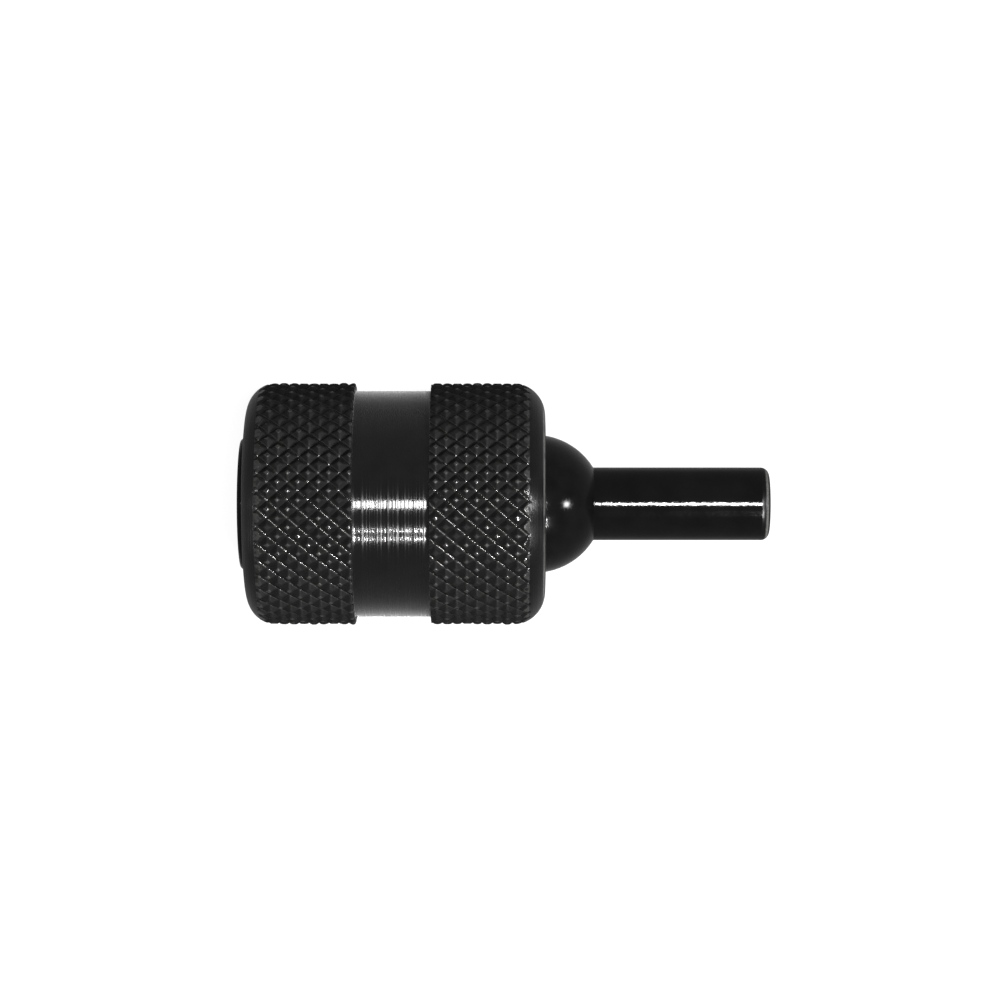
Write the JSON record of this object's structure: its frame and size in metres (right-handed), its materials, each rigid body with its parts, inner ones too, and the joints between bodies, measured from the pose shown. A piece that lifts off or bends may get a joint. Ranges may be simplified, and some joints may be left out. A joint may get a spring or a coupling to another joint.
{
  "type": "spring bar tool tip holder",
  "caption": "Knurled quick-release holder for spring bar tool tips, with a spring-loaded sleeve, a hexagon socket and a round shank.",
  "frame": {"origin": "on the tool's axis, in the plane where the plain shank leaves the ball nose", "axes": "+X along the axis, from the socket to the shank's free end; the part is round about X, and +Z is square to one socket flat and one detent ball"},
  "size_m": [0.029, 0.0132, 0.0132],
  "materials": {
    "black_oxide_turned": "black oxide, finely turned",
    "black_oxide_ground": "black oxide over a ground surface",
    "black_oxide_knurled": "black oxide, knurled bands and turned waist",
    "nickel_plate": "bright nickel plating",
    "spring_steel": "oil-tempered spring steel",
    "bright_steel": "ground steel",
    "hardened_steel": "hardened steel, turned",
    "ball_steel": "polished bearing steel",
    "bronze": "sintered bronze"
  },
  "bodies": {
    "core": {"core": "black_oxide_turned", "shank": "black_oxide_ground", "magnet": "nickel_plate", "stop_ring": "spring_steel", "spring_seat": "bright_steel", "spring": "spring_steel"},
    "slider": {"thrust_washer": "bright_steel"},
    "grip": {"grip_sleeve": "black_oxide_knurled", "cam_ring": "hardened_steel", "rear_bush": "bronze"},
    "ball_1": {"detent_ball_1": "ball_steel"},
    "ball_2": {"detent_ball_2": "ball_steel"},
    "ball_3": {"detent_ball_3": "ball_steel"}
  },
  "joints": [
    {"name": "sleeve_slide", "type": "slide", "parent": "core", "child": "slider", "axis": [1, 0, 0], "range_m": [0, 0.0022], "stiffness_N_per_m": 580, "springref_m": -0.002, "deforming": ["spring"]},
    {"name": "sleeve_spin", "type": "hinge", "parent": "slider", "child": "grip", "pos_m": [-0.0108, 0, 0], "axis": [1, 0, 0], "continuous": true},
    {"name": "ball_1_out", "type": "slide", "parent": "core", "child": "ball_1", "axis": [0, 0, 1], "range_m": [0, 0.0004]},
    {"name": "ball_2_out", "type": "slide", "parent": "core", "child": "ball_2", "axis": [0, -0.866, -0.5], "range_m": [0, 0.0004]},
    {"name": "ball_3_out", "type": "slide", "parent": "core", "child": "ball_3", "axis": [0, 0.866, -0.5], "range_m": [0, 0.0004]}
  ],
  "couplings": [
    {"joint": "ball_1_out", "follows": "sleeve_slide", "ratio": 0.18182},
    {"joint": "ball_2_out", "follows": "sleeve_slide", "ratio": 0.18182},
    {"joint": "ball_3_out", "follows": "sleeve_slide", "ratio": 0.18182}
  ]
}
